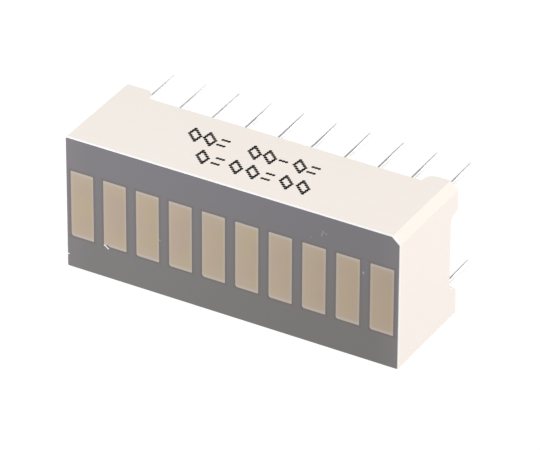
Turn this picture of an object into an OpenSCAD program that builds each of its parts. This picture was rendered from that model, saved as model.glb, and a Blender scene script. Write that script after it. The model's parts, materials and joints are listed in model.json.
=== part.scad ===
// Ten-bar LED display for a circuit board.
// x runs along the row of bars, y from the lit face back to the pin tips, z across the row.
// The origin is the middle of the pin pattern, in the plane of the feet that meet the board.

/* [Housing] */
// Length of the housing along the row of bars
body_l = 25.4; // [25.3:0.1:30]
// Width of the housing across the row of bars
body_w = 10.16; // [9.9:0.02:14]
// Depth from the lit face to the feet
body_d = 8; // [7.4:0.1:12]
// Thickness of the side walls behind the light wells
wall = 0.65; // [0.5:0.05:0.66]
// Radius of the housing's upright corners
corner_r = 0.12; // [0.08:0.01:0.3]
// Bevel round the edge of the lit face
lip = 0.06; // [0.02:0.01:0.1]

/* [Pin one corner] */
// Leg of the corner cut along the length
key_x = 0.6; // [0.3:0.05:0.8]
// Leg of the corner cut across the width
key_z = 0.55; // [0.3:0.05:0.8]

/* [Feet] */
// Height of the corner feet behind the rim
foot_h = 0.93; // [0.7:0.01:1.1]
// Distance from the middle to the side of a foot, on the long walls
foot_x = 10.45; // [9:0.05:10.8]
// Distance from the middle to the side of a foot, on the end walls
foot_z = 2.9; // [1.5:0.05:3.2]
// Radius in the root of a foot on the long walls
root_x = 0.2; // [0.1:0.05:0.6]
// Radius in the root of a foot on the end walls
root_z = 0.5; // [0.1:0.05:0.6]

/* [Light bars] */
// Number of light bars
bar_count = 10; // [1:1:10]
// Distance from one bar to the next
pitch = 2.54; // [2.5:0.01:2.54]
// Width of a bar at the face
bar_w = 1.75; // [1.3:0.05:1.8]
// Length of a bar at the face
bar_h = 5.08; // [3:0.02:5.4]
// Radius of a bar's corners
bar_r = 0.08; // [0.05:0.01:0.3]
// Depth of the straight mouth of a light well
mouth = 0.4; // [0.2:0.05:1]
// Width of a light well at its lamp end
well_w = 1.2; // [0.9:0.05:1.2]
// Length of a light well at its lamp end
well_h = 2.6; // [2.2:0.1:3]

/* [Face coat] */
// Thickness of the grey coat
coat_t = 0.03; // [0.02:0.005:0.06]
// Bare edge between the coat and the side of the housing
coat_margin = 0.065; // [0.06:0.005:0.15]
// The bar beside the scratch in the coat, counted from the left
scratched_bar = 2; // [1:1:10]
// Height of the notch in the coat's left edge, from the middle
notch_z = -4.09; // [-4.5:0.01:-3]

/* [Circuit board] */
// Depth of the light wells' lamp ends behind the lit face
well_depth = 4.1; // [3.8:0.1:4.4]
// Gap between the lamp ends and the board, which the resin fills
board_gap = 0.3; // [0.25:0.05:0.4]
// Thickness of the circuit board
board_t = 0.8; // [0.6:0.1:1]
// Clearance round the edge of the board
board_play = 0.2; // [0.1:0.05:0.2]
// Thickness of the copper
copper_t = 0.035; // [0.02:0.005:0.07]
// Radius of the round copper land at each pin
land_r = 0.4; // [0.36:0.01:0.41]
// Width of the copper strips
strip_w = 0.3; // [0.2:0.05:0.5]
// Height of the resin's back surface below the rim
resin_drop = 0.37; // [0.2:0.01:0.5]

/* [Pins] */
// Diameter of a pin
pin_d = 0.4; // [0.35:0.01:0.5]
// Distance between the two rows of pins
row_gap = 7.62; // [7.6:0.01:7.7]
// Length of a pin beyond the feet
pin_out = 4.25; // [3:0.05:6]
// Bevel at the tip of a pin
tip_bevel = 0.05; // [0.02:0.01:0.1]
// Radius of the swaged head of a pin
head_r = 0.37; // [0.36:0.01:0.38]
// Thickness of the swaged head of a pin
head_t = 0.12; // [0.08:0.01:0.2]
// Radius that a pin's shank gains from the feet back to its head
swell = 0.02; // [0.01:0.01:0.03]
// Height of the solder round a pin, on the back of the board
solder_h = 0.5; // [0.3:0.05:0.7]

/* [Lamps] */
// Side of a light-emitting chip
chip_w = 0.28; // [0.2:0.02:0.36]
// Height of a light-emitting chip
chip_h = 0.25; // [0.15:0.05:0.3]
// Diameter of a bond wire
wire_d = 0.03; // [0.02:0.005:0.05]
// Reach of a bond wire from the chip to its strip
wire_reach = 0.8; // [0.6:0.05:1]

/* [Hidden] */
front = -body_d;
shell_front = front + coat_t;
rim = -foot_h;
well_back = front + well_depth;
board_front = well_back + board_gap;
board_back = board_front + board_t;
copper_front = board_front - copper_t;
copper_back = board_back + copper_t;
resin_back = rim - resin_drop;
chip_top = copper_front - chip_h;
pin_r = pin_d / 2;
row_z = row_gap / 2;
bar_first = -(bar_count - 1) * pitch / 2;
inner_l = body_l - 2 * wall;
inner_w = body_w - 2 * wall;
inner_r = 0.2;
key_side = sqrt(key_x * key_x + key_z * key_z);
key_turn = atan2(key_x, key_z);
key_reach = (key_z * (body_l / 2 - key_x) + key_x * body_w / 2) / key_side;
ball_r = 0.045;
ball_t = 0.03;
through = 1;
arc_steps = 8;
$fn = 48;

// Two digits for a node's name
function two(n) = str(n < 10 ? "0" : "", n);

// Place along the row of bar n, counted from the cut corner
function bar_x(n) = bar_first + (bar_count - n) * pitch;

// Pins run along the upper row from the cut corner, then back along the lower row
function pin_x(n) = n <= bar_count ? bar_x(n) : bar_x(2 * bar_count + 1 - n);
function pin_z(n) = n <= bar_count ? row_z : -row_z;

// Points of an arc about a centre, from one angle to another
function arc(cx, cy, r, a0, a1) =
    [for (k = [0:arc_steps]) let (a = a0 + (a1 - a0) * k / arc_steps) [cx + r * cos(a), cy + r * sin(a)]];

// Turns a shape drawn upright so that it lies along the depth
module along_depth() rotate([-90, 0, 0]) children();

// A plate of a face outline, from depth y0 to the deeper y1
module slab(y0, y1)
    translate([0, y1, 0]) rotate([90, 0, 0]) linear_extrude(height = y1 - y0) children();

module rounded_rect(l, w, r) {
    square([l - 2 * r, w], center = true);
    square([l, w - 2 * r], center = true);
    for (sx = [-1, 1], sz = [-1, 1])
        translate([sx * (l / 2 - r), sz * (w / 2 - r)]) circle(r = r);
}

// Outline of the lit face, with its cut corner, drawn in by an inset
module face_outline(inset = 0) {
    l = body_l - 2 * inset;
    w = body_w - 2 * inset;
    kx = key_x - (2 - sqrt(2)) * inset;
    kz = key_z - (2 - sqrt(2)) * inset;
    difference() {
        rounded_rect(l, w, corner_r - inset);
        translate([l / 2, w / 2]) polygon([[-2 * kx, kz], [kx, -2 * kz], [kx, kz]]);
    }
}

module inner_outline() rounded_rect(inner_l, inner_w, inner_r);

module bar_outline() rounded_rect(bar_w, bar_h, bar_r);

module at_each_bar()
    for (n = [1:bar_count]) translate([bar_x(n), 0, 0]) children();

// Cuts the bevel along one edge of the face, at a distance from the middle
module lip_cutter(turn, reach)
    rotate([0, -turn, 0])
        translate([reach, shell_front, 0])
            linear_extrude(height = body_l + body_w, center = true)
                polygon([[-2 * lip, -lip], [lip, 2 * lip], [lip, -lip]]);

// Section of the gap between two feet: a round shoulder on each foot and a radius in its root
module foot_gap_section(side, root) {
    shoulder = foot_h - root;
    right = concat(
        arc(side - root, rim + root, root, -90, 0),
        arc(side + shoulder, rim + root, shoulder, 180, 90),
        [[side + shoulder, through]]
    );
    left = [for (k = [len(right) - 1:-1:0]) [-right[k][0], right[k][1]]];
    polygon(concat(right, left));
}

// One light well: a straight mouth, then flat sides that close in towards the lamp
module well(y0) {
    slab(y0, shell_front + mouth) bar_outline();
    intersection() {
        linear_extrude(height = bar_h, center = true)
            polygon([
                [-bar_w / 2, shell_front + mouth], [bar_w / 2, shell_front + mouth],
                [well_w / 2, well_back], [-well_w / 2, well_back]
            ]);
        rotate([0, 90, 0]) linear_extrude(height = bar_w, center = true)
            polygon([
                [-bar_h / 2, shell_front + mouth], [bar_h / 2, shell_front + mouth],
                [well_h / 2, well_back], [-well_h / 2, well_back]
            ]);
    }
}

module housing() {
    color([0.95, 0.92, 0.89]) difference() {
        slab(shell_front, 0) face_outline();
        slab(well_back, through) inner_outline();
        at_each_bar() well(shell_front - through);
        linear_extrude(height = 2 * body_w, center = true) foot_gap_section(foot_x, root_x);
        rotate([0, 90, 0]) linear_extrude(height = 2 * body_l, center = true)
            foot_gap_section(foot_z, root_z);
        lip_cutter(0, body_l / 2);
        lip_cutter(180, body_l / 2);
        lip_cutter(90, body_w / 2);
        lip_cutter(-90, body_w / 2);
        lip_cutter(key_turn, key_reach);
    }
}

// Where the coat is scratched away below a bar's corner and nicked at the edge
module coat_damage() {
    corner_x = bar_first + (scratched_bar - 1) * pitch - bar_w / 2;
    translate([corner_x, -bar_h / 2])
        polygon([[-0.05, 0.06], [0.08, 0.05], [0.4, -0.17], [0.33, -0.27], [0.05, -0.08], [-0.05, -0.06]]);
    translate([coat_margin - body_l / 2, notch_z])
        polygon([[-0.1, 0.06], [0.12, 0.05], [0.17, -0.01], [0.1, -0.05], [-0.1, -0.06]]);
}

module face_coat() {
    color([0.49, 0.48, 0.49]) slab(front, shell_front) difference() {
        face_outline(coat_margin);
        for (n = [1:bar_count]) translate([bar_x(n), 0]) bar_outline();
        coat_damage();
    }
}

// The resin fills the wells and the back of the housing, and closes round all that it holds
module resin_casting() {
    color([0.72, 0.66, 0.58]) difference() {
        union() {
            slab(well_back, resin_back) inner_outline();
            at_each_bar() well(front);
        }
        circuit_board_blank();
        front_tracks();
        rear_lands();
        solder_joints();
        all_pins();
        for (n = [1:bar_count]) {
            led_chip(n);
            bond_wire(n);
        }
    }
}

module circuit_board_blank()
    slab(board_front, board_back)
        square([inner_l - 2 * board_play, inner_w - 2 * board_play], center = true);

module circuit_board() {
    color([0.55, 0.6, 0.35]) difference() {
        circuit_board_blank();
        all_pins();
    }
}

// Each bar has one strip under its chip, from the lower pin, and one under its wire, from the upper
module front_tracks() {
    wire_pad = wire_reach - strip_w / 2;
    color([0.8, 0.5, 0.3]) difference() {
        slab(copper_front, board_front)
            for (n = [1:bar_count]) translate([bar_x(n), 0]) {
                translate([0, -row_z]) circle(r = land_r);
                translate([-strip_w / 2, -row_z]) square([strip_w, row_z]);
                circle(r = chip_w);
                translate([0, row_z]) circle(r = land_r);
                translate([-strip_w / 2, wire_pad]) square([strip_w, row_z - wire_pad]);
            }
        all_pins();
    }
}

module rear_lands() {
    color([0.8, 0.5, 0.3]) difference() {
        slab(board_back, copper_back)
            for (n = [1:2 * bar_count]) translate([pin_x(n), pin_z(n)]) circle(r = land_r);
        all_pins();
    }
}

// Solder that sweeps in from the land and thins out up the pin
module solder_joints() {
    foot = land_r - 0.02;
    crest = pin_r + 0.04;
    sweep = foot - crest;
    side = concat([[0, 0]], arc(foot, sweep, sweep, -90, -180), [[pin_r, solder_h], [0, solder_h]]);
    color([0.78, 0.78, 0.8]) difference() {
        for (n = [1:2 * bar_count]) translate([pin_x(n), copper_back, pin_z(n)])
            along_depth() rotate_extrude() polygon(side);
        all_pins();
    }
}

// A round wire pin: a swaged head on the front of the board, a shank that swells a little towards it,
// and from the feet on a straight lead with a bevelled tip
module pin(n) {
    lead = pin_out - tip_bevel;
    color([0.75, 0.75, 0.76]) translate([pin_x(n), 0, pin_z(n)]) along_depth() {
        translate([0, 0, copper_front - head_t]) cylinder(h = head_t, r = head_r);
        translate([0, 0, copper_front]) cylinder(h = -copper_front, r1 = pin_r + swell, r2 = pin_r);
        cylinder(h = lead, r = pin_r);
        translate([0, 0, lead]) cylinder(h = tip_bevel, r1 = pin_r, r2 = pin_r - tip_bevel);
    }
}

module all_pins() for (n = [1:2 * bar_count]) pin(n);

module led_chip(n)
    color([0.85, 0.75, 0.3]) translate([bar_x(n) - chip_w / 2, chip_top, -chip_w / 2])
        cube([chip_w, chip_h, chip_w]);

// A ball on the chip, a half loop over its side and a straight drop to the strip
module bond_wire(n) {
    loop_r = wire_reach / 2;
    ball_top = chip_top - ball_t;
    color([0.9, 0.75, 0.3]) translate([bar_x(n), ball_top, 0]) {
        along_depth() cylinder(h = ball_t, r = ball_r);
        translate([0, 0, loop_r]) rotate([0, -90, 180])
            rotate_extrude(angle = 180) translate([loop_r, 0]) circle(r = wire_d / 2);
        translate([0, 0, wire_reach]) along_depth() cylinder(h = copper_front - ball_top, r = wire_d / 2);
    }
}

housing();
face_coat();
resin_casting();
circuit_board();
front_tracks();
rear_lands();
solder_joints();
for (n = [1:2 * bar_count])
    pin(n);
for (n = [1:bar_count]) {
    led_chip(n);
    bond_wire(n);
}
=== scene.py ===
# %% [markdown]
# # A ten-bar LED display
# This part sits on a circuit board and shows a level as a row of ten light bars, as on an old
# hi-fi meter. Its construction is packed already: every node has its real size and place, in one
# frame, and nothing here moves it. This lesson gives it its looks. Some nodes keep their mesh and
# get a material, and the ones that show most are modelled again with rounder edges and finer skin.

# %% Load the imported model
import json
import math

import bmesh
import bpy
from mathutils import Matrix, Vector


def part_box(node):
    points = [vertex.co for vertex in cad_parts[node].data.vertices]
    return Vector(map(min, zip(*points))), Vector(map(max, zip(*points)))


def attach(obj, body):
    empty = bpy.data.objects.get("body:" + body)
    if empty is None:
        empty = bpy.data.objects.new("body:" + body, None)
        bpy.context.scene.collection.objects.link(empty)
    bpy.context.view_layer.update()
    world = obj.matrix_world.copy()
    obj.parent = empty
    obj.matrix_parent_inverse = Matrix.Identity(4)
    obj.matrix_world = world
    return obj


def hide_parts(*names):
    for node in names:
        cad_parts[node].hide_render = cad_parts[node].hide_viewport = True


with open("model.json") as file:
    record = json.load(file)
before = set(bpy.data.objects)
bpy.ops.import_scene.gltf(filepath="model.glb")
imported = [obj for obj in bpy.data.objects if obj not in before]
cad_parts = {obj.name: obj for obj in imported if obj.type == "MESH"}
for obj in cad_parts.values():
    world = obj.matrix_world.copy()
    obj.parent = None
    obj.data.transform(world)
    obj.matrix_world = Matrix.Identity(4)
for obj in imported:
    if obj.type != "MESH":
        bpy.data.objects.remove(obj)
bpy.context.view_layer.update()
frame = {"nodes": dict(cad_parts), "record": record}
nodes = frame["nodes"]
print("CAD nodes:", len(nodes))

# %% [markdown]
# ## Measures
# A model that is dressed by eye drifts away from its solids, so every size starts from the frame.
# Blender's frame is in metres. This part is 25 mm long, and the mesh tools have tolerances of about
# a thousandth of a unit, so all the modelling is done in millimetres and scaled once at the end.

# %% Boxes of the nodes, in millimetres
MM = 0.001
near = 1e-4           # places closer than this are the same place
snap = 1e-5           # a cut that passes a vertex closer than this goes through it


def box(node):
    """Lowest and highest corner of a node, in millimetres."""
    low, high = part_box(node)
    return Vector(low) / MM, Vector(high) / MM


shell_low, shell_high = box("housing")
coat_low, coat_high = box("face_coat")
resin_high = box("resin_casting")[1]

half_l, half_w = shell_high.x, shell_high.z      # half the housing's length and width
feet_y = shell_high.y                            # plane of the four feet
face_y = coat_low.y                              # plane of the lit face
shell_y = shell_low.y                            # plastic under the coat
cavity_l, cavity_w = resin_high.x, resin_high.z  # half the hollow's length and width
resin_y = resin_high.y                           # back surface of the resin
print("housing", tuple(shell_high - shell_low), "face at", face_y, "resin back at", resin_y)

# %% Pins and bars
pin_count = sum(name.startswith("pin_") for name in nodes)
pin_names = [f"pin_{n:02d}" for n in range(1, pin_count + 1)]
pin_boxes = [box(name) for name in pin_names]
pin_places = [(low + high) / 2 for low, high in pin_boxes]
pitch = pin_places[0].x - pin_places[1].x
tip_y = pin_boxes[0][1].y
head_y = pin_boxes[0][0].y
head_r = (pin_boxes[0][1].x - pin_boxes[0][0].x) / 2
pin_r = frame["record"]["mounts"][0]["dims"]["stud_r_mm"]
bar_xs = sorted({round(p.x, 4) for p in pin_places})
print("pins", pin_count, "pitch", round(pitch, 3), "bars at", bar_xs)

# %% Details of the housing that no box gives, in millimetres
corner_r = 0.12                   # upright corners
cavity_r = 0.2                    # upright corners of the hollow
lip = 0.06                        # rounding of the front edge
edge_r = 0.04                     # rounding of the rim and the feet
key_x, key_z = 0.6, 0.55          # legs of the cut corner
foot_h = 0.93                     # height of the feet over the rim
foot_x, root_x = 10.45, 0.2       # flank of a foot on a long wall, and the radius in its root
foot_z, root_z = 2.9, 0.5         # the same on an end wall
rim_y = feet_y - foot_h           # plane of the rim
key_start = Vector((half_l - key_x, 0.0, half_w))        # where the cut leaves the top
key_end = Vector((half_l, 0.0, half_w - key_z))          # where it meets the end wall
key_away = Vector((key_z, 0.0, key_x)).normalized()      # straight out of the cut
print("rim at", round(rim_y, 3), "cut corner", round((key_end - key_start).length, 3), "long")

# %% Details of the light bars, in millimetres
bar_w, bar_h = 1.75, 5.08         # a bar at the face
bar_r, bar_round_r = 0.06, 0.18   # its corners, and the rounder lower left one
corner_steps = 5                  # segments of a rounded corner
mouth = 0.4                       # straight part of a light well
well_w, well_h = 1.2, 2.6         # lamp end of a well
well_depth = 4.1                  # from the face to the lamp end
well_y = face_y + well_depth      # plane of the lamp ends
print("wells narrow by", round((bar_w - well_w) / 2, 3), "and", round((bar_h - well_h) / 2, 3))

# %% [markdown]
# ## Camera
# A studio shot of so small a part is taken from far off with a long lens, which keeps its edges
# nearly parallel. The camera looks down from the front right, over the cut corner. Its turn is
# written out as three axes, because a camera looks along its own -Z and its up is +Y.

# %% Camera
view_azimuth, view_height, view_roll = map(math.radians, (29.7, 32.05, 0.274))
focal_length, distance = 354.7, 348.1            # in millimetres
aim = Vector((3.026, face_y, 3.088)) * MM        # the point in the middle of the view
backward = Vector((
    math.sin(view_azimuth) * math.cos(view_height),
    -math.cos(view_azimuth) * math.cos(view_height),
    math.sin(view_height),
))
sideways = Vector((math.cos(view_azimuth), math.sin(view_azimuth), 0.0))
upward = backward.cross(sideways)
turn = Matrix((sideways, upward, backward)).transposed() @ Matrix.Rotation(view_roll, 3, "Z")

camera_data = bpy.data.cameras.new("camera")
camera_data.lens = focal_length
camera_data.sensor_width = 36.0
camera_data.clip_start = 0.02
camera_data.clip_end = 20.0
camera = bpy.data.objects.new("camera", camera_data)
camera.matrix_world = Matrix.LocRotScale(aim + backward * distance * MM, turn, None)
bpy.context.collection.objects.link(camera)
bpy.context.scene.camera = camera
print("camera at", tuple(round(c, 4) for c in camera.location))

# %% [markdown]
# ## Writing shaders as sums
# A material is a web of nodes, and a web is hard to read. The class below wraps one socket and
# turns +, -, * and / on it into Math nodes, also when the number comes first, as in 1 - mask.
# Every other node comes from one method, which takes its type, its settings and its inputs.

# %% A socket with arithmetic
class Value:
    """A number or vector in a shader; arithmetic on it adds Math nodes."""

    def __init__(self, shader, socket):
        self.shader, self.socket = shader, socket

    def math(self, operation, *others, swap=False):
        """A Math node on this value and the others; swap puts this value last."""
        values = [self, *others]
        if swap:
            values.reverse()
        return self.shader.node("Math", {"operation": operation}, dict(enumerate(values)))

    def __add__(self, other):
        return self.math("ADD", other)

    def __sub__(self, other):
        return self.math("SUBTRACT", other)

    def __rsub__(self, other):
        return self.math("SUBTRACT", other, swap=True)

    def __mul__(self, other):
        return self.math("MULTIPLY", other)

    def __truediv__(self, other):
        return self.math("DIVIDE", other)

    def __rtruediv__(self, other):
        return self.math("DIVIDE", other, swap=True)

    __radd__, __rmul__ = __add__, __mul__

    def also(self, output):
        """Another output of the node that this value comes from."""
        return Value(self.shader, self.socket.node.outputs[output])


# %% A shader and its nodes
class Shader:
    """One node tree. node() makes any node in it and returns one of its outputs."""

    def __init__(self, owner):
        owner.use_nodes = True
        self.tree = owner.node_tree
        self.tree.nodes.clear()

    def node(self, kind, settings=None, inputs=None, output=0):
        """Adds a node, with its settings before its inputs, and returns one of its outputs."""
        made = self.tree.nodes.new("ShaderNode" + kind)
        for key, value in (settings or {}).items():
            setattr(made, key, value)
        for key, value in (inputs or {}).items():
            # some nodes have several sockets of one name, and the settings enable one of them
            by_name = [s for s in made.inputs if s.name == key and s.enabled]
            socket = by_name[0] if by_name else made.inputs[key]
            if isinstance(value, Value):
                self.tree.links.new(value.socket, socket)
            else:
                socket.default_value = value
        outputs = [s for s in made.outputs if s.enabled]
        by_name = [s for s in outputs if s.name == output]
        return Value(self, by_name[0] if by_name else outputs[output])

    def place(self):
        """Where a point lies on the object, in millimetres, as a vector."""
        metres = self.node("TexCoord", output="Object")
        return self.node("VectorMath", {"operation": "SCALE"}, {"Vector": metres, "Scale": 1 / MM})

    def stretch(self, place, x, y, z):
        """The same place with its axes scaled, so that a pattern on it is drawn out."""
        return self.node("Mapping", None, {"Vector": place, "Scale": (x, y, z)})

    def split(self, vector):
        """The three numbers of a vector."""
        return [self.node("SeparateXYZ", None, {"Vector": vector}, axis) for axis in "XYZ"]

    def noise(self, place, scale, detail=2.0, roughness=0.5):
        """Smooth noise from 0 to 1, with about this many lumps in a millimetre."""
        values = {"Vector": place, "Scale": scale, "Detail": detail, "Roughness": roughness}
        return self.node("TexNoise", None, values, "Fac")

    def ease(self, value, low, high):
        """0 below low, 1 above high, and smooth between them."""
        values = {"Value": value, "From Min": low, "From Max": high}
        return self.node("MapRange", {"interpolation_type": "SMOOTHSTEP"}, values)

    def blend(self, share, first, second):
        """A colour that goes from the first to the second as share goes from 0 to 1."""
        values = {"Factor": share, "A": first, "B": second}
        return self.node("Mix", {"data_type": "RGBA"}, values, "Result")

    def bump(self, height, depth, strength=1.0, under=None):
        """A normal for a height from 0 to 1 that stands for a depth in millimetres."""
        values = {"Height": height, "Distance": depth * MM, "Strength": strength}
        if under is not None:
            values["Normal"] = under
        return self.node("Bump", None, values)

    def surface(self, values):
        """The material's principled surface, with these sockets set or linked."""
        self.finish(self.node("BsdfPrincipled", None, values))

    def finish(self, made, kind="OutputMaterial"):
        """Ends the tree with this surface."""
        end = self.tree.nodes.new("ShaderNode" + kind)
        self.tree.links.new(made.socket, end.inputs["Surface"])


def new_shader(name):
    """A new material and the shader in it."""
    material = bpy.data.materials.new(name)
    return material, Shader(material)


def shade(red, green, blue):
    """A colour as a screen shows it, from 0 to 255, in the linear values that a shader wants."""
    screen = [c / 255 for c in (red, green, blue)]
    return (*[c / 12.92 if c <= 0.04045 else ((c + 0.055) / 1.055) ** 2.4 for c in screen], 1.0)


# %% [markdown]
# ## Loops of edges
# The housing, the coat and the resin are all made of the same few outlines, drawn from plane to
# plane. So the two main tools are one that makes a rounded rectangle of bare edges and one that
# extrudes a closed loop to another plane and pulls its sides in on the way.

# %% Outlines
upright = Matrix.Rotation(math.pi / 2, 3, "X")           # from lying flat to facing the front


def outline(bm, half, radii, y, centre=(0.0, 0.0)):
    """Bare edges of a rounded rectangle in the plane y.

    The radii are those of the low left, low right, high left and high right corners.
    """
    corners = bmesh.ops.create_grid(bm, x_segments=1, y_segments=1, size=1.0)["verts"]
    bmesh.ops.scale(bm, vec=(half[0], half[1], 1.0), verts=corners)
    bmesh.ops.rotate(bm, cent=(0, 0, 0), matrix=upright, verts=corners)
    bmesh.ops.translate(bm, vec=(centre[0], y, centre[1]), verts=corners)
    rounded = []
    for corner, radius in zip(corners, radii):
        rounded += bmesh.ops.bevel(
            bm, geom=[corner], offset=radius, offset_type="OFFSET", segments=corner_steps,
            profile=0.5, affect="VERTICES", material=-1,
        )["verts"]
    face = rounded[0].link_faces[0]
    edges = face.edges[:]
    bmesh.ops.delete(bm, geom=[face], context="FACES_ONLY")
    return edges


def ring(bm, centre, radius, y, steps=24):
    """Bare edges of a circle in the plane y."""
    verts = bmesh.ops.create_circle(bm, cap_ends=False, segments=steps, radius=radius)["verts"]
    bmesh.ops.rotate(bm, cent=(0, 0, 0), matrix=upright, verts=verts)
    bmesh.ops.translate(bm, vec=(centre[0], y, centre[1]), verts=verts)
    return [bm.edges.get(pair) for pair in zip(verts, verts[1:] + verts[:1])]


# %% Drawing out, filling and cutting
def draw_to(bm, edges, y, inset=(0.0, 0.0)):
    """Extrudes a closed loop to the plane y, pulls its sides in and returns the new loop."""
    grown = bmesh.ops.extrude_edge_only(bm, edges=edges)["geom"]
    verts = {g for g in grown if isinstance(g, bmesh.types.BMVert)}
    xs, zs = [v.co.x for v in verts], [v.co.z for v in verts]
    middle = Vector((min(xs) + max(xs), 0.0, min(zs) + max(zs))) / 2
    half_x, half_z = (max(xs) - min(xs)) / 2, (max(zs) - min(zs)) / 2
    shrink = (1 - inset[0] / half_x, 1.0, 1 - inset[1] / half_z)
    bmesh.ops.scale(bm, vec=shrink, space=Matrix.Translation(-middle), verts=list(verts))
    for vert in verts:
        vert.co.y = y
    return [g for g in grown if isinstance(g, bmesh.types.BMEdge) and set(g.verts) <= verts]


def open_edges(bm, y):
    """The edges of the holes that are still open in the plane y."""
    return [e for e in bm.edges if e.is_boundary and all(abs(v.co.y - y) < near for v in e.verts)]


def fill(bm, edges):
    """Closes a flat region between an outline and the outlines inside it."""
    bmesh.ops.triangle_fill(bm, use_beauty=True, use_dissolve=False, edges=edges)


def shave(bm, point, normal):
    """Cuts off what lies beyond a plane, on the side of its normal, and closes the cut."""
    cut = bmesh.ops.bisect_plane(
        bm, geom=bm.verts[:] + bm.edges[:] + bm.faces[:], dist=snap,
        plane_co=point, plane_no=normal, clear_outer=True,
    )["geom_cut"]
    bmesh.ops.edgeloop_fill(bm, edges=[g for g in cut if isinstance(g, bmesh.types.BMEdge)])


# %% [markdown]
# ## The same mesh each run
# The operators that extrude go through a mesh by addresses in memory, which differ from run to
# run. The shape comes out the same, but its faces stand in another order and start at another
# corner, so a flat wall may be split into other triangles. A mesh that is sorted by place comes
# out the very same each time. Pi and e weigh the axes, so that hardly any two places tie.

# %% Settling a mesh
def rank(place):
    """A number by which places are sorted."""
    return place.x + place.y * math.pi + place.z * math.e


def settle(bm):
    """Starts each face at its lowest corner and sorts the mesh, both by rank.

    Sorting moves its parts in memory, so vertices and edges taken before it are not used after.
    """
    for face in bm.faces[:]:
        verts = face.verts[:]
        first = verts.index(min(verts, key=lambda v: rank(v.co)))
        bm.faces.remove(face)
        bm.faces.new(verts[first:] + verts[:first])
    bm.verts.sort(key=lambda v: rank(v.co))
    bm.edges.sort(key=lambda e: rank(e.verts[0].co + e.verts[1].co))
    bm.faces.sort(key=lambda f: rank(f.calc_center_median()))
    bm.normal_update()


# %% From a mesh to a piece
def finish_piece(name, bm, material, replaced=(), smooth_below=35.0):
    """Turns a mesh in millimetres into a piece of the part, in metres, that rides on its body.

    Edges that bend by fewer degrees than smooth_below are shaded as one smooth surface.
    """
    bmesh.ops.recalc_face_normals(bm, faces=bm.faces)
    settle(bm)
    bmesh.ops.scale(bm, vec=(MM, MM, MM), verts=bm.verts)
    open_count = sum(e.is_boundary or not e.is_manifold for e in bm.edges)
    mesh = bpy.data.meshes.new(name)
    bm.to_mesh(mesh)
    bm.free()
    mesh.shade_smooth()
    mesh.set_sharp_from_angle(angle=math.radians(smooth_below))
    mesh.materials.append(material)
    piece = bpy.data.objects.new(name, mesh)
    bpy.context.collection.objects.link(piece)
    weighted = piece.modifiers.new("even_normals", "WEIGHTED_NORMAL")
    weighted.keep_sharp = True
    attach(piece, "root")
    if replaced:
        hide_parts(*replaced)
    print(name, "faces", len(mesh.polygons), "open edges", open_count)


# %% [markdown]
# ## White plastic
# The housing is filled white plastic: matte, faintly warm, and so even that a flat colour seems
# enough. A flat colour looks like a drawing, though. So noise moves the tone by a level or two,
# drawn out along the length as the melt flowed, and two bumps give a slow wave and a fine grain.

# %% Moulded plastic
def moulded_plastic():
    """White moulded plastic: an even, faintly warm skin with a fine matte grain."""
    material, sh = new_shader("moulded_white")
    place = sh.place()
    clouds = sh.noise(place, 0.22, detail=3.0)
    flow = sh.noise(sh.stretch(place, 0.5, 2.0, 2.0), 0.8, detail=1.0)
    tone = sh.blend(clouds, shade(247, 240, 232), shade(249, 242, 235))
    tone = sh.blend(sh.ease(flow, 0.35, 0.75) * 0.5, tone, shade(247, 241, 231))
    # the front lip is painted whiter: a painted highlight along the front edge
    _, depth, _ = sh.split(place)
    lip_highlight = 1 - sh.ease(depth, shell_y + lip, shell_y + lip * 3)
    tone = sh.blend(lip_highlight, tone, shade(255, 255, 254))
    grain = sh.noise(place, 9.0, detail=4.0, roughness=0.6)
    wave = sh.noise(place, 0.6, detail=1.0)
    normal = sh.bump(grain, 0.004, 0.6, under=sh.bump(wave, 0.02, 0.5))
    sh.surface({
        "Base Color": tone, "Roughness": 0.42 + grain * 0.16, "Normal": normal,
        "Specular IOR Level": 0.42,
    })
    return material


# %% [markdown]
# ## Housing
# The real housing is moulded in one shot: a box with a hollow at the back, ten tapered wells that
# open through its front, a rim that sinks between four corner feet, and one corner cut off to mark
# pin one. It could be a box with booleans, but their cuts leave ragged triangles that shade badly
# along the edges. Here it is drawn out as loops, from the rim forward.

# %% The flank of a foot
def flank(side, root, steps=8):
    """Distances from the middle of a wall at which its rim bends up into a foot."""
    shoulder = foot_h - root
    angles = [math.pi / 2 * k / steps for k in range(steps + 1)]
    low = [side - root + root * math.sin(a) for a in angles]
    high = [side + shoulder - shoulder * math.cos(a) for a in angles[1:]]
    return low + high


def rim_height(reach, side, root):
    """The plane of the rim at a distance from the middle of its wall."""
    shoulder = foot_h - root
    if reach <= side - root:
        return rim_y
    if reach <= side:
        return rim_y + root - math.sqrt(max(0.0, root**2 - (reach - side + root) ** 2))
    if reach < side + shoulder:
        return rim_y + root + math.sqrt(max(0.0, shoulder**2 - (side + shoulder - reach) ** 2))
    return feet_y


# %% Rim and feet
def sunk_rim(bm):
    """The ring between the outer and inner outlines, sunk between the feet."""
    outline(bm, (half_l, half_w), [corner_r] * 4, feet_y)
    outline(bm, (cavity_l, cavity_w), [cavity_r] * 4, feet_y)
    cuts = [(reach, (1, 0, 0)) for reach in flank(foot_x, root_x)]
    cuts += [(reach, (0, 0, 1)) for reach in flank(foot_z, root_z)]
    for reach, axis in cuts:
        for side in (-1, 1):
            bmesh.ops.bisect_plane(
                bm, geom=bm.verts[:] + bm.edges[:], dist=snap,
                plane_co=Vector(axis) * reach * side, plane_no=axis,
            )
    bmesh.ops.bridge_loops(bm, edges=bm.edges[:])
    for vert in bm.verts:
        on_long_wall = abs(vert.co.z) > cavity_w - near
        if on_long_wall:
            vert.co.y = rim_height(abs(vert.co.x), foot_x, root_x)
        else:
            vert.co.y = rim_height(abs(vert.co.z), foot_z, root_z)


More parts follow.
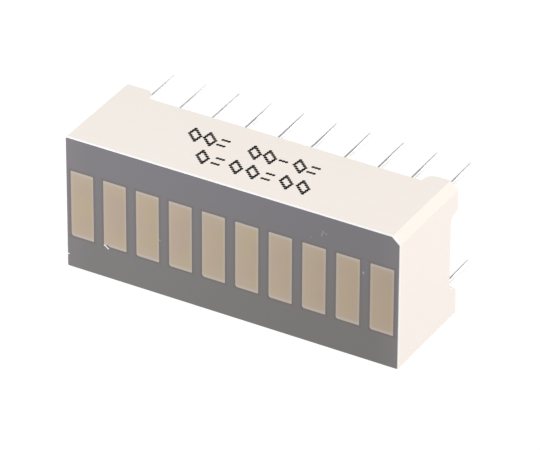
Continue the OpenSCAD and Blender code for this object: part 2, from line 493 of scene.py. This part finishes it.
# %% Front edge, bars and wells
def front_lip(bm, loop, radius, steps=3):
    """Rounds the front edge: the loop goes forward and inward along a quarter circle."""
    before = 0.0
    for k in range(1, steps + 1):
        angle = math.pi / 2 * k / steps
        inward = radius * (1 - math.cos(angle))
        loop = draw_to(bm, loop, shell_y + radius * (1 - math.sin(angle)), (inward - before,) * 2)
        before = inward
    return loop


def well_walls(bm, loop):
    """Draws a bar's outline back through the straight mouth to the lamp end of its well."""
    loop = draw_to(bm, loop, shell_y + mouth)
    return draw_to(bm, loop, well_y, ((bar_w - well_w) / 2, (bar_h - well_h) / 2))


def bar_outline(bm, x, y, low_left=bar_round_r):
    """The outline of the bar at x; its lower left corner has a radius of its own."""
    return outline(bm, (bar_w / 2, bar_h / 2), [low_left, bar_r, bar_r, bar_r], y, (x, 0.0))


# %% The whole shell
def is_outside(vert):
    """Whether a vertex of the rim lies on the outer outline."""
    return abs(vert.co.x) > cavity_l + near or abs(vert.co.z) > cavity_w + near


def housing_shell():
    """The closed housing, with its feet, lip and wells, before its corner is cut."""
    bm = bmesh.new()
    sunk_rim(bm)
    rim = [e for e in bm.edges if e.is_boundary]
    outer = [e for e in rim if all(is_outside(v) for v in e.verts)]
    inner = [e for e in rim if e not in outer]
    draw_to(bm, outer, shell_y + lip)
    draw_to(bm, inner, well_y)
    # the walls are flat, so their many strips become one face each
    bmesh.ops.dissolve_limit(
        bm, angle_limit=math.radians(1), use_dissolve_boundaries=True,
        verts=bm.verts, edges=bm.edges,
    )
    front = front_lip(bm, open_edges(bm, shell_y + lip), lip)
    bars = [bar_outline(bm, x, shell_y) for x in bar_xs]
    fill(bm, front + sum(bars, []))
    for bar in bars:
        well_walls(bm, bar)
    fill(bm, open_edges(bm, well_y))
    return bm


# %% The cut corner
eased = 0.006         # how far the two upright edges of the cut are flattened


def cut_corner(bm):
    """Cuts the corner of pin one and eases the edges that the cut makes."""
    shave(bm, key_start, key_away)
    for corner, wall in ((key_start, Vector((0, 0, 1))), (key_end, Vector((1, 0, 0)))):
        half_way = (key_away + wall).normalized()
        shave(bm, corner - half_way * eased, half_way)
    # three planes that touch a quarter circle take the front lip across the cut
    middle = (key_start + key_end) / 2 - key_away * lip + Vector((0.0, shell_y + lip, 0.0))
    for angle in map(math.radians, (22.5, 45.0, 67.5)):
        slant = key_away * math.cos(angle) - Vector((0, math.sin(angle), 0))
        shave(bm, middle + slant * lip, slant)


# %% Build the housing
bm = housing_shell()
cut_corner(bm)
settle(bm)        # the bevel goes by the order of the edges
sharp = math.radians(60)
rim_edges = [
    e for e in bm.edges
    if all(v.co.y > rim_y - near for v in e.verts) and e.calc_face_angle(0.0) > sharp
]
bmesh.ops.bevel(
    bm, geom=rim_edges, offset=edge_r, offset_type="OFFSET", segments=2, profile=0.5,
    affect="EDGES", material=-1, clamp_overlap=True,
)
finish_piece("moulded_housing", bm, moulded_plastic(), ["housing"])

# %% [markdown]
# ## Satin print
# The face is printed grey, so that unlit bars stand out against it. Ink of this kind dries with a
# fine orange peel and picks up specks. Its tone also holds painted shade: darker to the right and
# bottom, and cooler and lighter at the top. All of that could be painted on a texture, but formulas
# on the object's own coordinates stay sharp at any distance. The bars repeat every pitch, so a
# modulo says where a point lies beside its own bar.

# %% Beside a bar
def off_middle(x):
    """How far a point is to the right of the middle line of its bar."""
    from_first = x - (bar_xs[0] - pitch / 2)
    return from_first.math("FLOORED_MODULO", pitch) - pitch / 2


# %% Satin coat
# each speck has a middle, a half width and height, and a share by which it is paler
specks = [
    ((7.00, 3.80), (0.07, 0.12), 0.45), ((6.92, 3.56), (0.09, 0.13), 0.35),
    ((7.24, 3.72), (0.08, 0.12), 0.25), ((6.10, 3.13), (0.10, 0.05), 0.25),
    ((10.03, 1.62), (0.07, 0.12), 0.7), ((-5.43, -0.78), (0.14, 0.08), 0.35),
]


def satin_coat():
    """Satin grey print: orange peel, pale specks, painted shade to the right and bottom, paler
    ends.
    """
    material, sh = new_shader("satin_grey")
    place = sh.place()
    x, _, z = sh.split(place)
    blotch = sh.noise(place, 0.5, detail=3.0)
    peel = sh.noise(place, 3.2, detail=3.0, roughness=0.55)
    # painted shade: the print darkens towards the right and the bottom, and is cooler and lighter
    # at the top
    painted_shade_to_right = sh.ease(x + (blotch - 0.5) * 6, -9.0, 6.0)
    low = sh.blend(painted_shade_to_right, shade(117, 114, 113), shade(113, 110, 108))
    high = sh.blend(painted_shade_to_right, shade(119, 116, 120), shade(116, 113, 117))
    tone = sh.blend(sh.ease(z, -3.5, 4.5), low, high)
    # painted light: the print is paler towards both ends of the face
    tone = sh.blend(sh.ease(x.math("ABSOLUTE"), 10.6, 12.8) * 0.6, tone, shade(127, 122, 123))
    # the coat is darker and browner in a narrow line round each window
    beside = off_middle(x).math("ABSOLUTE") - bar_w / 2
    from_bar = beside.math("MAXIMUM", z.math("ABSOLUTE") - bar_h / 2)
    tone = sh.blend((1 - sh.ease(from_bar, 0.06, 0.26)) * 0.5, tone, shade(106, 96, 86))
    for middle, half, paler in specks:
        across, up = (x - middle[0]) / half[0], (z - middle[1]) / half[1]
        inside = 1 - sh.ease(across * across + up * up, 0.3, 1.0)
        tone = sh.blend(inside * paler, tone, shade(180, 178, 176))
    sh.surface({
        "Base Color": tone, "Roughness": 0.36 + blotch * 0.12, "Normal": sh.bump(peel, 0.008, 0.5),
        "Specular IOR Level": 0.5,
    })
    return material


# %% [markdown]
# ## Grey coat
# The coat is a real skin a few hundredths of a millimetre thick, with an opening for each bar. It
# could be a colour on the housing, but then its edge would have no thickness to catch the light.
# So it is drawn as one outline with ten holes and given its thickness. Its knocks stay as they
# are: bars whose lower left corner is rubbed round, a tear at one, and a nick in the edge.

# %% Damage
coat_inset = half_l - coat_high.x
opening_r = 0.09                                  # lower left corner of an opening
rubbed = {1: 0.2, 3: 0.17, 4: 0.17, 5: 0.12}      # the same for bars where it is rubbed rounder
torn_bar = 2
# points of the tear, from the bar's corner, and of the nick, from the edge of the coat
tear = [
    (0, 0.06), (-0.05, 0.06), (-0.05, -0.06), (0.05, -0.08), (0.33, -0.27), (0.4, -0.17),
    (0.17, 0.0), (0.2, 0.09), (0.32, 0.07), (0.4, 0.0),
]
nick_z = -4.09
nick = [(0, 0.06), (0.12, 0.05), (0.17, -0.01), (0.1, -0.05), (0, -0.06)]
print("coat set in by", round(coat_inset, 3), "rubbed bars", sorted(rubbed), "torn bar", torn_bar)


# %% Openings
def detour(bm, start, end, origin, points):
    """Leads an outline from one of its corners to another by way of a few points."""
    path = [bm.verts.new(origin + Vector((x, 0, z))) for x, z in points]
    chain = [start, *path, end]
    return [bm.edges.new(pair) for pair in zip(chain, chain[1:])]


def torn_opening(bm, x, y):
    """The opening of the torn bar: the tear takes its lower left corner away."""
    edges = bar_outline(bm, x, y, bar_r)
    corner = Vector((x - bar_w / 2, y, -bar_h / 2))
    verts = sorted({v for e in edges for v in e.verts}, key=lambda v: (v.co - corner).length)
    gone, kept = verts[:corner_steps + 1], verts[corner_steps + 1:]
    side = min((v for v in kept if abs(v.co.x - corner.x) < near), key=lambda v: v.co.z)
    base = min((v for v in kept if abs(v.co.z - corner.z) < near), key=lambda v: v.co.x)
    edges = [e for e in edges if not set(e.verts) & set(gone)]
    bmesh.ops.delete(bm, geom=gone, context="VERTS")
    return edges + detour(bm, side, base, corner, tear)


def nicked_rim(bm, y):
    """The outline of the coat, with a nick in its left edge."""
    rim = outline(bm, (coat_high.x, coat_high.z), [corner_r - coat_inset] * 4, y)
    left_edges = [e for e in rim if all(v.co.x < 0 for v in e.verts)]
    left = max(left_edges, key=lambda e: e.calc_length())
    top, bottom = sorted(left.verts, key=lambda v: -v.co.z)
    rim.remove(left)
    bmesh.ops.delete(bm, geom=[left], context="EDGES_FACES")
    return rim + detour(bm, top, bottom, Vector((coat_low.x, y, nick_z)), nick)


# %% Build the coat
bm = bmesh.new()
loops = nicked_rim(bm, face_y)
for number, x in enumerate(bar_xs, start=1):
    if number == torn_bar:
        loops += torn_opening(bm, x, face_y)
    else:
        loops += bar_outline(bm, x, face_y, rubbed.get(number, opening_r))
fill(bm, loops)
grown = bmesh.ops.extrude_face_region(bm, geom=bm.faces[:])["geom"]
back_verts = [g for g in grown if isinstance(g, bmesh.types.BMVert)]
bmesh.ops.translate(bm, vec=(0, shell_y - face_y, 0), verts=back_verts)
shave(bm, key_start - key_away * coat_inset, key_away)
finish_piece("satin_coat", bm, satin_coat(), ["face_coat"], smooth_below=25)

# %% [markdown]
# ## Milky epoxy
# The resin is clouded with a powder that spreads the light of each lamp. Real milkiness could be
# subsurface scattering, but that is slow and can't be baked, and the unlit resin hardly differs
# from a glossy tan skin. So a skin is what it gets: cloudy in the bars, paler in a narrow border
# where the white well shows through, and with a few broken bubbles at the open back. Its colour
# also holds a painted highlight along the rim of each bar, and painted shade that darkens each bar
# to its right and the bars towards the right end.

# %% Cast resin
def milky_resin():
    """Milky epoxy: cloudy tan, paler where the white well shows through, painted highlight and
    shade.
    """
    material, sh = new_shader("milky_resin")
    place = sh.place()
    x, depth, z = sh.split(place)
    off = off_middle(x)
    edge_x = bar_w / 2 - off.math("ABSOLUTE")
    edge_z = bar_h / 2 - z.math("ABSOLUTE")
    near_x = 1 - sh.ease(edge_x, 0.03, 0.25)
    near_z = 1 - sh.ease(edge_z, 0.05, 0.4)
    veil = sh.noise(place, 0.45, detail=1.0)
    tone = sh.blend(sh.ease(veil, 0.35, 0.65), shade(180, 160, 141), shade(181, 164, 136))
    tone = sh.blend((1 - sh.ease(edge_z, 0.1, 1.5)) * 0.5, tone, shade(187, 171, 145))
    # painted shade: each bar is lighter on its left side and darker on its right
    tone = sh.blend((1 - sh.ease(off, -0.9, 0.5)) * 0.5, tone, shade(188, 170, 148))
    # painted shade: the bars darken towards the right end of the row
    tone = sh.blend(sh.ease(x, 2.0, 13.0) * 0.35, tone, shade(172, 151, 130))
    tone = sh.blend(near_x * 0.4 + near_z * 0.5, tone, shade(184, 178, 172))
    # painted highlight: a bright line just inside the rim of each bar
    rim_highlight_x = 1 - sh.ease(edge_x, 0.08, 0.18)
    rim_highlight_z = 1 - sh.ease(edge_z, 0.1, 0.24)
    tone = sh.blend(rim_highlight_x * 0.08 + rim_highlight_z * 0.3, tone, shade(204, 195, 180))
    back = sh.ease(depth, well_y, well_y + 1)
    swirl = sh.noise(sh.stretch(place, 0.5, 1.0, 1.3), 0.8, detail=3.0)
    poured = sh.blend(sh.ease(swirl, 0.3, 0.7), shade(184, 167, 143), shade(194, 179, 158))
    # a few bubbles broke at the open back and left small pits
    from_bubble = sh.node("TexVoronoi", None, {"Vector": place, "Scale": 0.7}, "Distance")
    lot = sh.split(from_bubble.also("Color"))[0]
    pit = (1 - sh.ease(from_bubble, 0.03, 0.07)) * sh.ease(lot, 0.7, 0.75) * back
    poured = sh.blend(pit * 0.5, poured, shade(150, 132, 110))
    tone = sh.blend(back, tone, poured)
    ripple = sh.noise(place, 1.4, detail=2.0)
    normal = sh.bump(1 - pit, 0.06, 1.0, under=sh.bump(ripple, 0.01, 0.5))
    sh.surface({
        "Base Color": tone, "Roughness": 0.18 + veil * 0.12, "Normal": normal,
        "Specular IOR Level": 0.5,
    })
    return material


# %% [markdown]
# ## Resin
# The wells and the back are cast full. Against the glass plate that the resin cures on, the bars
# come out flush and glossy, with a hair of shrinkage. At the open back it stays as it flowed:
# level in the middle, drawn up the walls and round every pin. Bars and slab could be separate
# pieces, but it is one casting, so it is one mesh: ten tapered bars that join a slab.

# %% Bars, walls and collars
shrink_w, shrink_y = 0.05, 0.012      # sunk middle of a bar
climb_w, climb_h = 0.24, 0.12         # how far the resin is drawn along a wall, and up it
collar_r, collar_h = 0.36, 0.1        # the same round a pin
pin_overlap = 0.03                    # how far a collar goes on inside its pin


def cast_bar(bm, x):
    """One light bar: a face that is sunk a little, and walls that narrow to the lamp end."""
    face = bar_outline(bm, x, face_y)
    well_walls(bm, face)
    sunk = draw_to(bm, face, face_y + shrink_y, (shrink_w, shrink_w))
    bmesh.ops.edgeloop_fill(bm, edges=sunk)


def leave_wall(bm, loop, steps=4):
    """Draws a loop down and inward along a hollow curve, as a liquid leaves a wall."""
    for k in range(1, steps + 1):
        y = resin_y + climb_h * (1 - k / steps) ** 2
        loop = draw_to(bm, loop, y, (climb_w / steps, climb_w / steps))
    return loop


def collar(bm, place, steps=3):
    """The same curve up one pin; returns the loop at its foot."""
    foot = ring(bm, (place.x, place.z), collar_r, resin_y)
    inward = (collar_r - pin_r + pin_overlap) / steps
    loop = foot
    for k in range(1, steps + 1):
        loop = draw_to(bm, loop, resin_y + collar_h * (k / steps) ** 2, (inward, inward))
    bmesh.ops.edgeloop_fill(bm, edges=loop)
    return foot


# %% Build the resin
bm = bmesh.new()
for x in bar_xs:
    cast_bar(bm, x)
wall = outline(bm, (cavity_l, cavity_w), [cavity_r] * 4, well_y)
fill(bm, open_edges(bm, well_y) + wall)
flat = leave_wall(bm, draw_to(bm, wall, resin_y + climb_h))
for place in pin_places:
    flat += collar(bm, place)
fill(bm, flat)
finish_piece("cast_resin", bm, milky_resin(), ["resin_casting"], smooth_below=30)

# %% [markdown]
# ## Bright tin
# The wires are tinned: almost white metal with fine lines along them from the drawing die, duller
# where fingers and the cutter touched them. A metal has no colour of its own beyond what it
# reflects, so most of the work is in the roughness, and the tone hardly changes.

# %% Tinned wire
def bright_tin():
    """Tinned wire: almost white metal, drawn fine, duller on some pins and towards every tip."""
    material, sh = new_shader("bright_tin")
    place = sh.place()
    x, y, _ = sh.split(place)
    handled = sh.ease(sh.noise(place, 0.3) - x * 0.02, 0.4, 0.7) * 0.25
    duller = handled + sh.ease(y, 1.5, tip_y) * 0.3
    lines = sh.noise(sh.stretch(place, 9.0, 0.8, 9.0), 1.0, detail=3.0)
    blotch = sh.noise(place, 1.2, detail=2.0)
    tone = sh.blend(sh.ease(blotch, 0.35, 0.7), shade(250, 250, 250), shade(253, 253, 252))
    sh.surface({
        "Base Color": tone, "Metallic": 1.0, "Roughness": 0.12 + blotch * 0.06 + duller,
        "Normal": sh.bump(lines, 0.001, 0.3),
    })
    return material


# %% [markdown]
# ## Pins
# Twenty round wires are swaged at one end, pressed through the board, soldered, and cut to length
# with a small bevel. A cylinder would give the straight part alone. Each pin is a turned shape, so
# half its profile is drawn and spun round the wire's axis, which also gives its head, its swelling
# and its tip, and a rounder wire than the solid's few facets.

# %% Turned profile
head_t, head_bevel = 0.12, 0.02       # thickness of the swaged head, and its bevel
swell = 0.02                          # how much the radius grows from the feet to the head
tip_bevel = 0.05
tip_round = tip_bevel * 0.3           # the bevel bulges: how far in its middle lies

# half a pin from the middle of its head to the middle of its tip, as distance from its axis and y
pin_profile = [
    (0.0, head_y), (head_r - head_bevel, head_y), (head_r, head_y + head_bevel),
    (head_r, head_y + head_t - head_bevel), (head_r - head_bevel, head_y + head_t),
    (pin_r + swell, head_y + head_t), (pin_r, feet_y), (pin_r, tip_y - tip_bevel),
    (pin_r - tip_round, tip_y - tip_round), (pin_r - tip_bevel, tip_y), (0.0, tip_y),
]
print("pin", round(tip_y - head_y, 3), "long,", pin_r * 2, "thick, head", round(head_r * 2, 3))


# %% Turn the pins
def turned_pin(place):
    """One pin: swaged head, shank that thins towards the feet, straight lead, bevelled tip."""
    bm = bmesh.new()
    points = [bm.verts.new((reach, y, 0.0)) for reach, y in pin_profile]
    edges = [bm.edges.new(pair) for pair in zip(points, points[1:])]
    bmesh.ops.spin(
        bm, geom=points + edges, cent=(0, 0, 0), axis=(0, 1, 0), dvec=(0, 0, 0),
        angle=math.tau, steps=28, use_merge=True, use_duplicate=False,
    )
    bmesh.ops.remove_doubles(bm, verts=bm.verts, dist=near)
    bmesh.ops.translate(bm, vec=(place.x, 0.0, place.z), verts=bm.verts)
    return bm


tin = bright_tin()
for name, place in zip(pin_names, pin_places):
    finish_piece("wire_" + name, turned_pin(place), tin, [name])

# %% [markdown]
# ## Jet ink
# Such a part carries two short rows of black print on its top side, thrown as drops by a jet
# printer. The ink is matte, and a little starved where the plastic is grainy. One flat black would
# look cut out of paper, so noise greys it here and there.

# %% Black ink
def black_ink():
    """Jet ink: soft black, a little starved where the plastic is grainy."""
    material, sh = new_shader("black_ink")
    starved = sh.noise(sh.place(), 6.0, detail=3.0, roughness=0.7)
    tone = sh.blend(sh.ease(starved, 0.6, 0.85) * 0.5, shade(12, 10, 12), shade(74, 70, 68))
    sh.surface({
        "Base Color": tone, "Roughness": 0.6 + starved * 0.2,
        "Normal": sh.bump(starved, 0.003, 0.5), "Specular IOR Level": 0.15,
    })
    return material


# %% [markdown]
# ## Marks
# These marks are plain signs that say nothing: slanted lozenges and dashes, made of drops. They
# could be a texture, which would blur when it is seen from close by. So each drop is a flat disc
# a few microns proud of the plastic.

# %% Drops
ink_t, ink_sunk = 0.008, 0.005        # thickness of the ink, and how much of it lies in the plastic
dot_r, dot_gap = 0.14, 0.25           # radius of a drop, and the step between drops
ink_z = half_w + ink_t / 2 - ink_sunk


def dotted(bm, start, end):
    """A row of flat dots on the top side, from one point up to another."""
    count = max(1, round((end - start).length / dot_gap))
    for k in range(count):
        dot = bmesh.ops.create_cone(
            bm, cap_ends=True, segments=10, radius1=dot_r, radius2=dot_r * 0.9, depth=ink_t,
        )["verts"]
        spot = start.lerp(end, k / count)
        bmesh.ops.translate(bm, vec=(spot.x, spot.y, ink_z), verts=dot)


# %% Lozenges and dashes
mark_w, mark_h, slant = 0.86, 1.4, 0.5
dash_w = mark_w * 0.8


def lozenge(bm, x, y):
    """A slanted lozenge of dots round its middle."""
    right, up = Vector((mark_w / 2, 0)), Vector((-mark_h / 2 * slant, mark_h / 2))
    centre = Vector((x, y))
    points = [centre - right, centre + up, centre + right, centre - up]
    for start, end in zip(points, points[1:] + points[:1]):
        dotted(bm, start, end)


def dash(bm, x, y):
    """A short level row of dots."""
    centre, half = Vector((x, y)), Vector((dash_w / 2, 0))
    dotted(bm, centre - half, centre + half)


def two_dashes(bm, x, y):
    """Two dashes, one over the other."""
    dash(bm, x, y - mark_h / 4)
    dash(bm, x, y + mark_h / 4)


# %% Print the rows
far_marks = [lozenge, lozenge, two_dashes, None, lozenge, lozenge, dash, lozenge, two_dashes]
near_marks = [lozenge, two_dashes, lozenge, lozenge, two_dashes, lozenge, lozenge]
# each row is its left end, its right end, its height on the side and its marks
rows = [(-5.9, 4.4, -3.45, far_marks), (-4.1, 4.8, -5.65, near_marks)]
bm = bmesh.new()
for left_end, right_end, y, marks in rows:
    step = (right_end - left_end) / len(marks)
    for k, mark in enumerate(marks):
        if mark:
            mark(bm, left_end + step * (k + 0.5), y)
finish_piece("ink_marks", bm, black_ink())

# %% [markdown]
# ## Inside
# The board, its copper, the solder, the lamp chips and their gold wires are buried in the resin.
# Their solids are right as they are, so each keeps its mesh and only gets the finish of its
# material, for anyone who takes the model apart.

# %% Glass laminate
def laminate():
    """Glass laminate: pale green tan with a woven grain."""
    material, sh = new_shader("glass_laminate")
    values = {"Vector": sh.place(), "Scale": 0.9, "Distortion": 0.6}
    across = sh.node("TexWave", {"bands_direction": "X"}, values, "Fac")
    along = sh.node("TexWave", {"bands_direction": "Z"}, values, "Fac")
    weave = across * along
    sh.surface({
        "Base Color": sh.blend(weave, shade(150, 150, 104), shade(176, 172, 124)),
        "Roughness": 0.5 + weave * 0.1, "Normal": sh.bump(weave, 0.01, 0.6),
    })
    return material


# %% Metals and lamp crystal
def bare_metal(name, dark, light, roughness, scale):
    """A bare metal with soft blotches, from a darker to a lighter tone."""
    material, sh = new_shader(name)
    blotch = sh.noise(sh.place(), scale, detail=3.0)
    sh.surface({
        "Base Color": sh.blend(sh.ease(blotch, 0.3, 0.7), dark, light), "Metallic": 1.0,
        "Roughness": roughness + blotch * 0.15, "Normal": sh.bump(blotch, 0.004, 0.5),
    })
    return material


def lamp_crystal():
    """Gallium phosphide chip: dark amber crystal, mottled where it was sawn."""
    material, sh = new_shader("lamp_crystal")
    saw = sh.noise(sh.place(), 14.0, detail=2.0)
    sh.surface({
        "Base Color": sh.blend(sh.ease(saw, 0.4, 0.6), shade(120, 74, 40), shade(150, 98, 56)),
        "Roughness": 0.3 + saw * 0.2, "Normal": sh.bump(saw, 0.003, 0.5),
    })
    return material


# %% Dress the carried nodes
copper = bare_metal("bright_copper", shade(184, 110, 72), shade(204, 130, 88), 0.28, 2.0)
solder = bare_metal("dull_solder", shade(168, 168, 166), shade(196, 196, 192), 0.32, 3.0)
gold = bare_metal("gold_thread", shade(226, 178, 88), shade(240, 196, 106), 0.2, 8.0)
dress = {
    "circuit_board": laminate(), "front_tracks": copper, "rear_lands": copper,
    "solder_joints": solder, "led_chip": lamp_crystal(), "bond_wire": gold,
}
replaced = {"housing", "face_coat", "resin_casting", *pin_names}
for name in nodes:
    if name in replaced:
        continue
    finish = next(material for start, material in dress.items() if name.startswith(start))
    for carried in bpy.data.objects[name].material_slots:
        carried.material = finish
print("dressed", len(nodes) - len(replaced), "carried nodes")

# %% [markdown]
# ## White ground
# A product shot on white stands on a floor that burns out to pure white. Raising the lamps until
# the floor clips would burn the housing out too. So the floor shines on its own, and casts no
# light on the part. A faint diffuse share lets the part's shadow show, and from below the floor is
# clear, so that the underside can be looked at.

# %% Flat cards
def flat_card(name, material, size, place, turn=None):
    """A flat rectangle that belongs to the studio; its size and place are in millimetres."""
    bm = bmesh.new()
    verts = bmesh.ops.create_grid(bm, x_segments=1, y_segments=1, size=0.5)["verts"]
    bmesh.ops.scale(bm, vec=(size[0], size[1], 1.0), verts=verts)
    if turn:
        bmesh.ops.rotate(bm, cent=(0, 0, 0), matrix=turn, verts=verts)
    bmesh.ops.translate(bm, vec=place, verts=verts)
    bmesh.ops.scale(bm, vec=(MM, MM, MM), verts=verts)
    mesh = bpy.data.meshes.new(name)
    bm.to_mesh(mesh)
    bm.free()
    mesh.materials.append(material)
    card = bpy.data.objects.new(name, mesh)
    bpy.context.collection.objects.link(card)
    card.visible_diffuse = card.visible_shadow = False
    print(name, size[0], "by", size[1], "mm at", tuple(round(c) for c in place))
    return card


# %% Table
def grey(value):
    """A neutral colour in linear values, where 1 is white."""
    return (value, value, value, 1.0)


def white_table():
    """Shines white, with a faint share that the object's shadow can darken."""
    material, sh = new_shader("white_table")
    shadow = sh.node("BsdfDiffuse", None, {"Color": grey(0.1)})
    glow = sh.node("Emission", None, {"Color": grey(0.95), "Strength": 1.0})
    above = sh.node("AddShader", None, {0: shadow, 1: glow})
    below = sh.node("BsdfTransparent")
    under = sh.node("NewGeometry", output="Backfacing")
    sh.finish(sh.node("MixShader", None, {0: under, 1: above, 2: below}))
    return material


table_side, table_gap = 1200, 0.3     # the gap keeps the part clear of the table
flat_card("table", white_table(), (table_side, table_side), (0, 0, shell_low.z - table_gap))

# %% [markdown]
# ## Surround
# The walls of the studio have to look pure white behind the part and in its reflections, but they
# light it too, and pure white would wash its shading out. One strength can't do both. So the world
# asks what kind of ray meets it, and is white to be seen and a mid grey as light.

# %% World
def is_seen(sh):
    """1 for rays from the camera, and for reflections and glass, and 0 for light."""
    kinds = ("Is Camera Ray", "Is Glossy Ray", "Is Transmission Ray")
    camera_ray, glossy_ray, glass_ray = [sh.node("LightPath", output=kind) for kind in kinds]
    return (camera_ray + glossy_ray + glass_ray).math("MINIMUM", 1.0)


wall_light = 0.62
world = bpy.data.worlds.new("studio")
bpy.context.scene.world = world
studio = Shader(world)
surround = studio.blend(is_seen(studio), grey(wall_light), grey(1.0))
background = studio.node("Background", None, {"Color": surround, "Strength": 1.0})
studio.finish(background, "OutputWorld")
print("walls white to the eye, and", wall_light, "as light")

# %% [markdown]
# ## Lamps
# The surround lights every side alike, so two soft lamps give the part its form. A small cool one
# stands low at the front left, for the face. A large warm one stands at the right, for the top and
# the end wall. A third, at the back, only opens up the pins and feet for anyone who walks round.
# The strength of each is given as it arrives, so a lamp can be moved without getting brighter.

# %% Three soft lamps
def lamp(name, place, size, strength, colour=(1.0, 1.0, 1.0)):
    """A soft square lamp, placed in millimetres, that faces the middle of the part.

    strength is the share of a white surface's brightness that it gives there.
    """
    place = Vector(place)
    data = bpy.data.lights.new(name, "AREA")
    data.size = size * MM
    data.color = colour
    data.energy = strength * math.pi**2 * (place.length * MM) ** 2
    made = bpy.data.objects.new(name, data)
    made.location = place * MM
    made.rotation_euler = (-place).to_track_quat("-Z", "Y").to_euler()
    bpy.context.collection.objects.link(made)
    print(name, round(place.length), "mm away,", round(data.energy, 4), "W")


lamp("left_lamp", (-62, -72, 31), 50, 0.425, (0.97, 0.96, 1.03))
lamp("right_lamp", (192, 14, 118), 108, 0.4, (1.01, 0.95, 0.925))
lamp("back_lamp", (20, 200, 40), 120, 0.3)

# %% [markdown]
# ## Cards for the pins
# Bright wire on a white ground disappears, so a studio stands a dark card where the wires reflect
# it as one thin line. The other cards grade the rest of each wire. They could be real cards, but
# those would shade the part. So only reflections see these, and they take no light away.

# %% Reflected cards
def grey_card(name, tone, towards, size, distance=600):
    """A card that faces the part from a direction, seen in reflections alone."""
    material, sh = new_shader(name)
    sh.finish(sh.node("Emission", None, {"Color": grey(tone), "Strength": 1.0}))
    towards = Vector(towards).normalized()
    turn = towards.to_track_quat("Z", "Y").to_matrix()
    card = flat_card(name, material, size, towards * distance, turn)
    card.visible_camera = card.visible_transmission = card.visible_volume_scatter = False


grey_card("dark_card", 0.35, (-0.51, 0.74, 0.44), (640, 640))
grey_card("pale_card", 0.5, (0.675, 0.737, 0.0), (240, 240))
grey_card("left_card", 0.15, (-0.9, 0.0, 0.4), (400, 500))
grey_card("right_card", 0.4, (0.9, 0.0, 0.4), (400, 500))

# %% Plain colours
# the standard view shows each colour as it was mixed, without a film curve
bpy.context.scene.view_settings.view_transform = "Standard"
print("view", bpy.context.scene.view_settings.view_transform)
